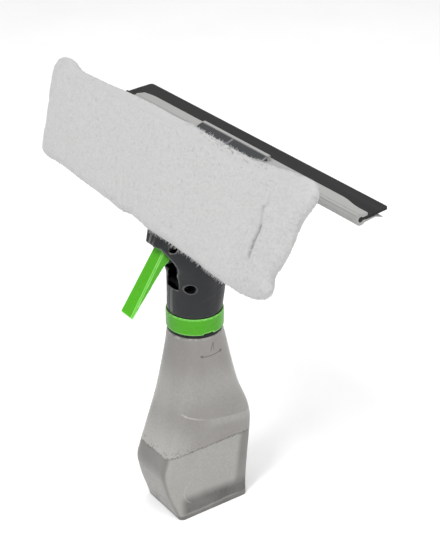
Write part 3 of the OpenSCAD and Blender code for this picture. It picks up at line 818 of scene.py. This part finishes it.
def smooth_reach():
    """A grid of reaches of the finely cut form, blended where the neck meets the body."""
    tree = head_form(360, 180)
    rows = []
    z = LOW
    while z < HIGH:
        rows.append([reach(tree, 2 * math.pi * i / TURNS, z) for i in range(TURNS)])
        z += STEP
    out = []
    for k, row in enumerate(rows):
        z = LOW + k * STEP
        spread = 0.7 + 3.4 * math.exp(-((z - WAIST_Z) / 9) ** 2)
        m = int(2.5 * spread / STEP)
        taps = [(d, math.exp(-0.5 * (d * STEP / spread) ** 2)) for d in range(-m, m + 1)]
        new = []
        for i in range(TURNS):
            total = weight = 0.0
            for d, w in taps:
                if 0 <= k + d < len(rows) and rows[k + d][i] is not None:
                    total += rows[k + d][i] * w
                    weight += w
            new.append(total / weight if weight and row[i] is not None else None)
        out.append(new)
    # a little blending round the axis softens the nose's edges
    for row in out:
        if None in row:
            continue
        row[:] = [0.25 * row[i - 1] + 0.5 * row[i] + 0.25 * row[(i + 1) % TURNS] for i in range(TURNS)]
    return out


def lookup(grid, angle, z):
    a = (angle / (2 * math.pi)) % 1.0 * TURNS
    i, k = int(a), int((z - LOW) / STEP)
    if not 0 <= k < len(grid) - 1:
        return None
    fa, fz = a - i, (z - LOW) / STEP - k
    j = (i + 1) % TURNS
    corners = [grid[k][i % TURNS], grid[k][j], grid[k + 1][i % TURNS], grid[k + 1][j]]
    if None in corners:
        return None
    low = corners[0] * (1 - fa) + corners[1] * fa
    high = corners[2] * (1 - fa) + corners[3] * fa
    return low * (1 - fz) + high * fz


def flank_line(y):
    """Height of the faint step across the neck's flank."""
    return 184.3 + 0.36 * y


def head_shells():
    coarse = head_form(64, 32)
    grid = smooth_reach()
    for side in ("left", "right"):
        o = softened("head_shell_" + side, "housing_" + side, "head", SHELL_VOXEL, 2)
        for v in o.data.vertices:
            x, y, z = v.co / MM
            if z < NECK_Z + 0.6 or z > 300:
                continue
            angle = math.atan2(y - AXIS_Y, x)
            r = math.hypot(x, y - AXIS_Y)
            was, now = reach(coarse, angle, z), lookup(grid, angle, z)
            if was is None or now is None or abs(r - was) > 1.0:
                continue
            share = ease((1.0 - abs(r - was)) / 0.5) * ease((z - NECK_Z - 0.6) / 3)
            step = 0.16 * ease((z - flank_line(y)) / 0.9 + 0.5) * ease((196 - z) / 8) * ease((y + 12) / 8)
            k = 1 + ((now - was) * share + step * share) / r
            v.co.x *= k
            v.co.y = (AXIS_Y + (y - AXIS_Y) * k) * MM
        # the inside of the head and the sill's top take the near black painted shade
        o.data.materials.append(M["inside_shade"])
        mark_edges(o, SHELL_VOXEL * MM)
        for p in o.data.polygons:
            x, y, z = p.center / MM
            if y < -10 and abs(z - SILL_Z) < 0.9 and p.normal.z > 0.6:
                p.material_index = 1
            was = reach(coarse, math.atan2(y - AXIS_Y, x), z) if NECK_Z + 3 < z < 300 else None
            if was is None or math.hypot(x, y - AXIS_Y) > was - 0.8:
                continue
            if abs(z - SILL_Z) < 2 or coarse.find_nearest(Vector((x, y, z)))[3] > 0.8:
                p.material_index = 1
        o.data.update()


head_shells()
mark_edges(softened("trigger_skin", "trigger", "trigger_lever", TRIGGER_VOXEL, 9), TRIGGER_VOXEL * MM)
mark_edges(softened("ring_skin", "lock_collar", "collar", RING_VOXEL, 1), RING_VOXEL * MM)


def torus(centre, r, thick, n=48, sides=8):
    """A ring about X, as vertices and faces in metres."""
    verts, faces = [], []
    for i in range(n):
        a = 2 * math.pi * i / n
        for j in range(sides):
            b = 2 * math.pi * j / sides
            d = r + thick * math.cos(b)
            verts.append(Vector((centre[0] + thick * math.sin(b), centre[1] + d * math.cos(a),
                                 centre[2] + d * math.sin(a))) * MM)
            faces.append((i * sides + j, i * sides + (j + 1) % sides, (i + 1) % n * sides + (j + 1) % sides,
                          (i + 1) % n * sides + j))
    return verts, faces


def hole_rim():
    """The raised rim round the screw's well in the neck, laid on the curved flank."""
    y0, z0 = -13.4, 193
    tree = head_form(360, 180)
    verts, faces = torus((0, y0, z0), 3.75, 0.42)
    for v in verts:
        hit = tree.ray_cast(Vector((60, v.y / MM, v.z / MM)), Vector((-1, 0, 0)))[0]
        v.x += (hit.x - 0.12) * MM
    # its paler colour is a painted highlight
    o = piece("well_rim", verts, faces, "rim", "head")


hole_rim()


# ---------------------------------------------------------------- microfibre pad

# Outline of the sleeve in its own plane (mm), anticlockwise seen from its back. The points were
# chosen along its edge as measured in the photograph.
OUTLINE = [(-157.3, 22.9), (-154.8, 29.8), (-148, 34.0), (-139, 35.6), (-129.5, 34.2), (-119.5, 32.0),
           (-103, 32.2), (-86, 32.7), (-70, 33.6), (-48.5, 34.4), (-22, 35.4), (2, 35.1),
           (24, 36.0), (42, 35.2), (56, 35.2), (70, 34.5), (84, 34.9), (99.5, 35.9),
           (116, 37.6), (133, 39.4), (147, 39.9), (154.5, 37.6), (157.2, 31.0), (154, 20.5),
           (150.9, 9.5), (149, -2), (147, -12), (143.4, -22), (141.8, -28.6), (143.4, -33.5),
           (141.5, -38.8), (135, -42.4), (126.7, -44.9), (114.7, -46.5), (101, -47.0), (86, -46.3),
           (66, -45.5), (50, -45.6), (34, -44.6), (20, -44.9), (8, -45.1), (-1, -43.7),
           (-14.3, -42.7), (-20.7, -43.3), (-27, -44.4), (-34, -43.6), (-53.6, -42.7), (-77, -41.8),
           (-101, -40.7), (-125, -40.0), (-138, -39.8), (-145.5, -38.2), (-148.6, -32), (-150.6, -22),
           (-152.8, -10), (-154.3, 1), (-156.2, 12)]


def smooth_loop(pts, per=6):
    out, n = [], len(pts)
    for i in range(n):
        p0, p1, p2, p3 = (pts[(i + k) % n] for k in (-1, 0, 1, 2))
        for s in range(per):
            t = s / per
            out.append(tuple(0.5 * (2 * b + (c - a) * t + (2 * a - 5 * b + 4 * c - d) * t * t
                                    + (3 * b - a - 3 * c + d) * t ** 3)
                             for a, b, c, d in zip(p0, p1, p2, p3)))
    return out


MIDDLE_X, MIDDLE_Z = 112.0, -4.5


def shrink(loop, d):
    """The outline drawn in towards the sleeve's middle line, which runs MIDDLE_X to each side."""
    out = []
    for x, z in loop:
        cx = max(-MIDDLE_X, min(MIDDLE_X, x))
        dx, dz = cx - x, MIDDLE_Z - z
        k = d / math.hypot(dx, dz)
        out.append((x + dx * k, z + dz * k))
    return out


loop = [(x + 3.2 * ease((-100 - x) / 45), z) for x, z in smooth_loop(OUTLINE)]


def pad_blank():
    """The sleeve before it is puffed up: a lens-edged slab inside the outline."""
    levels = [(-5.0, 5.4), (-4.6, 2.4), (-3.8, 0.2), (-2.6, -1.2), (-1.0, -1.8), (0.8, -1.4), (2.2, 0.0),
              (3.4, 2.4), (4.4, 6.4), (5.0, 12.0)]
    verts, faces = [], []
    n = len(loop)
    for y, d in levels:
        verts += [from_pad(x, y, z) for x, z in shrink(loop, d)]
    for k in range(len(levels) - 1):
        for i in range(n):
            j = (i + 1) % n
            faces.append((k * n + i, k * n + j, (k + 1) * n + j, (k + 1) * n + i))
    faces.append(tuple(range(n - 1, -1, -1)))
    faces.append(tuple((len(levels) - 1) * n + i for i in range(n)))
    return verts, faces


PUFF_FRAMES = 20


def puff(o, cap):
    """Cloth pressure fills the sleeve; no point may move further than cap."""
    before = [v.co.copy() for v in o.data.vertices]
    cloth = o.modifiers.new("cloth", "CLOTH")
    s = cloth.settings
    s.quality = 6
    s.mass = 0.25
    s.tension_stiffness = s.compression_stiffness = 22
    s.shear_stiffness = 10
    s.bending_stiffness = 1.5
    s.use_pressure = True
    s.uniform_pressure_force = 4.0
    s.effector_weights.gravity = 0
    cloth.collision_settings.use_collision = False
    cloth.point_cache.frame_start, cloth.point_cache.frame_end = 1, PUFF_FRAMES
    scene = bpy.context.scene
    for frame_no in range(1, PUFF_FRAMES + 1):
        scene.frame_set(frame_no)
    dg = bpy.context.evaluated_depsgraph_get()
    moved = [v.co.copy() for v in o.evaluated_get(dg).data.vertices]
    o.modifiers.remove(cloth)
    scene.frame_set(1)
    for v, a, b in zip(o.data.vertices, before, moved):
        d = b - a
        if d.length > cap:
            d *= cap / d.length
        v.co = a + d


# The opening in the sleeve's back: half its width, and its lower and upper edge (mm, pad frame)
OPEN_X, OPEN_LOW, OPEN_HIGH = 25.5, -22.5, 17.5
# Height and place of the pressed fold, lowest first
FOLD = [(-21.5, 120.5), (-13.5, 120.9), (-7.3, 121.9), (-3.2, 122.7), (0.8, 123.0),
        (5.9, 122.0), (11.6, 120.7), (13.8, 121.4), (17.2, 124.6)]


def pad_sleeve():
    v, f = pad_blank()
    o = piece("pad_sleeve", v, f, "pile", "head")
    re = o.modifiers.new("remesh", "REMESH")
    re.mode = "VOXEL"
    re.voxel_size = 0.0023
    apply_all(o)
    puff(o, 0.0016)
    sub = o.modifiers.new("sub", "SUBSURF")
    sub.levels = sub.render_levels = 1
    apply_all(o)
    o.data.calc_loop_triangles()
    normals = [vv.normal.copy() for vv in o.data.vertices]
    fold = o.data.attributes.new("fold", "FLOAT", "POINT")
    for vv, nrm in zip(o.data.vertices, normals):
        x, y, z = to_pad(vv.co)
        p = Vector((x, y, z))
        pile = 1 + 1.0 * ease((x - 90) / 35)
        d = 0.5 * noise.noise(p / 34) + 0.25 * noise.noise(p / 7 + Vector((7, 3, 1)))
        d += pile * (0.36 * (0.42 - noise.voronoi(p / 2.4)[0][0]) + 0.18 * noise.noise(p / 1.5))
        if y < -1.5:
            # the fold that the plate's end presses into the sleeve
            wander = 0.8 * noise.noise(Vector((3, z / 4, 0))) + 0.7 * noise.noise(Vector((9, z / 1.3, 0)))
            u = x - along(z, FOLD) - wander
            held = ease((z + 23) / 4) * (1 - 0.6 * ease(z / 5)) * ease((19 - z) / 4)
            gap = held * math.exp(-(u / 1.0) ** 2) * (0.75 + 0.6 * noise.noise(Vector((x / 2, z / 1.4, 4))))
            patchy = 0.55 + 0.9 * max(0.0, noise.noise(Vector((x, z, 5)) / 1.8))
            # the fold's depth is kept for the painted shadow in the fold
            fold.data[vv.index].value = min(1.0, 1.5 * gap * patchy)
            banks = 0.5 * math.exp(-((u + 4.5) / 3.5) ** 2) + 0.45 * math.exp(-((u - 5) / 4) ** 2)
            d += held * banks - 1.7 * gap
            # longer loops beside the fold and towards the end
            near = ease((x - 100) / 18) * (0.7 + 0.5 * noise.noise(Vector((x, z, 0)) / 9))
            d += near * 0.45 * noise.noise(Vector((x / 1.9, z / 2.6, 8)))
            # soft pleats where the lower edge is gathered over the nose
            gathered = math.exp(-(((x + 24) / 16) ** 2 + ((z + 34) / 11) ** 2))
            d += 0.7 * gathered * math.sin(0.9 * x + 0.35 * z)
        elif abs(x) < OPEN_X and OPEN_LOW < z < OPEN_HIGH:
            inside = min(OPEN_X - abs(x), z - OPEN_LOW, OPEN_HIGH - z)
            d = (1.2 - y) * ease(inside / 2.0)
        vv.co += nrm * d * MM
    for p in o.data.polygons:
        p.use_smooth = True
    o.data.update()
    return o


pad = pad_sleeve()
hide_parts("pad_cover", "pad_foam")


TUFT_FACES = [(2, 1, 0), (0, 1, 4, 3), (1, 2, 5, 4), (2, 0, 3, 5), (3, 4, 6), (4, 5, 6), (5, 3, 6)]


def fringe(o):
    """Short tufts that stand out of the pile, longest along the edges beside the head and the clamp."""
    rng = random.Random(5)
    parts = []
    for p in o.data.polygons:
        c = p.center
        x, y, z = to_pad(c)
        nl = Vector(to_pad(c + p.normal * MM)) - Vector((x, y, z))
        rim = 1 - abs(nl.y)
        if abs(x) < 30 and -26 < z < 21 and y > 0.5:
            continue
        low = ease((x - 4) / 10) * ease((104 - x) / 8) * (1 if z < -38 else 0)
        high = ease((x - 18) / 10) * ease((118 - x) / 8) * (1 if z > 28 else 0)
        long = max(low, high) * ease((rim - 0.15) / 0.3)
        if rng.random() > 0.024 + 0.12 * ease((rim - 0.25) / 0.6) + 0.30 * long:
            continue
        size = rng.uniform(0.45, 0.9) + long * rng.uniform(0.4, 1.7)
        width = rng.uniform(0.20, 0.34)
        lean = Vector((rng.gauss(0, 0.35), rng.gauss(0, 0.35), rng.gauss(-0.15, 0.3)))
        d = (p.normal + lean * 0.7).normalized()
        side = d.cross(Vector((0.4, 0.7, 0.2))).normalized()
        other = d.cross(side)
        bend = Vector((rng.gauss(0, 0.3), rng.gauss(0, 0.3), rng.gauss(-0.2, 0.3)))
        vs = []
        for t, k in ((-0.25, 1.0), (0.45, 0.7)):
            m = c + (d * t * size + bend * t * t * size) * MM
            for a in (0.3, 2.4, 4.5):
                vs.append(m + (side * math.cos(a) + other * math.sin(a)) * width * k * MM)
        vs.append(c + (d + bend * 0.9) * size * MM)
        parts.append((vs, TUFT_FACES))
    v, f = joined(parts)
    t = piece("pad_fringe", v, f, "pile", "head")


fringe(pad)


def hem():
    """Bound edge round the opening that the head's plate enters."""
    pts = []
    w, lo, hi, r = 24.6, -21.8, 16.8, 5
    for cx, cz, a0 in ((w - r, hi - r, 0), (r - w, hi - r, 90), (r - w, lo + r, 180), (w - r, lo + r, 270)):
        for i in range(9):
            a = math.radians(a0 + 90 * i / 8)
            pts.append((cx + r * math.cos(a), cz + r * math.sin(a)))
    path = []
    n = len(pts)
    for i in range(n):
        a, b = pts[i], pts[(i + 1) % n]
        k = max(1, int(math.hypot(b[0] - a[0], b[1] - a[1]) / 1.6))
        for s in range(k):
            t = s / k
            x, z = a[0] + (b[0] - a[0]) * t, a[1] + (b[1] - a[1]) * t
            y = 6.4 + 0.35 * noise.noise(Vector((x / 4, z / 4, 0)))
            path.append(Vector((x, y, z)))
    verts, faces, sides = [], [], 10
    m = len(path)
    for i, p in enumerate(path):
        t = (path[(i + 1) % m] - path[i - 1]).normalized()
        u = Vector((0, 1, 0))
        v = t.cross(u).normalized()
        r = 1.25 + 0.18 * noise.noise(p / 1.6)
        for j in range(sides):
            a = 2 * math.pi * j / sides
            q = p + (u * math.cos(a) * 0.75 + v * math.sin(a)) * r
            verts.append(from_pad(*q))
    for i in range(m):
        for j in range(sides):
            k, h = (j + 1) % sides, (i + 1) % m
            faces.append((i * sides + j, i * sides + k, h * sides + k, h * sides + j))
    o = piece("sleeve_hem", verts, faces, "pile", "head")


hem()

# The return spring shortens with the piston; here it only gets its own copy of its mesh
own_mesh(NODES["return_spring"])


# ---------------------------------------------------------------- stage

me = bpy.data.meshes.new("floor")
me.from_pydata([(-6, -6, 0), (6, -6, 0), (6, 6, 0), (-6, 6, 0)], [], [(0, 1, 2, 3)])
floor = bpy.data.objects.new("floor", me)
bpy.context.scene.collection.objects.link(floor)
me.materials.append(M["floor"])


def lamp(name, place, target, size, power):
    d = bpy.data.lights.new(name, "AREA")
    d.shape = "DISK"
    d.size = size
    d.energy = power
    o = bpy.data.objects.new(name, d)
    o.location = place
    o.rotation_euler = (Vector(target) - Vector(place)).to_track_quat("-Z", "Y").to_euler()
    bpy.context.scene.collection.objects.link(o)


lamp("key", (0.27, -0.92, 1.66), (0, 0, 0.17), 0.55, 22)
lamp("fill", (1.7, 0.5, 1.1), (0, 0, 0.18), 1.6, 13)
lamp("top", (0.1, 0.3, 2.3), (0, 0, 0.2), 1.6, 15)

world = bpy.data.worlds.new("studio")
bpy.context.scene.world = world
world.use_nodes = True
bg = next(n for n in world.node_tree.nodes if n.type == "BACKGROUND")
bg.inputs["Color"].default_value = (1, 1, 1, 1)
bg.inputs["Strength"].default_value = 0.62

cam_data = bpy.data.cameras.new("camera")
cam_data.lens = 92.36
cam_data.sensor_width = 36
cam = bpy.data.objects.new("camera", cam_data)
cam.location = (0.7333, -0.4934, 0.6621)
cam.rotation_euler = Vector((-0.7243, 0.5097, -0.4644)).to_track_quat("-Z", "Y").to_euler()
bpy.context.scene.collection.objects.link(cam)
bpy.context.scene.camera = cam
bpy.context.scene.view_settings.view_transform = "Standard"
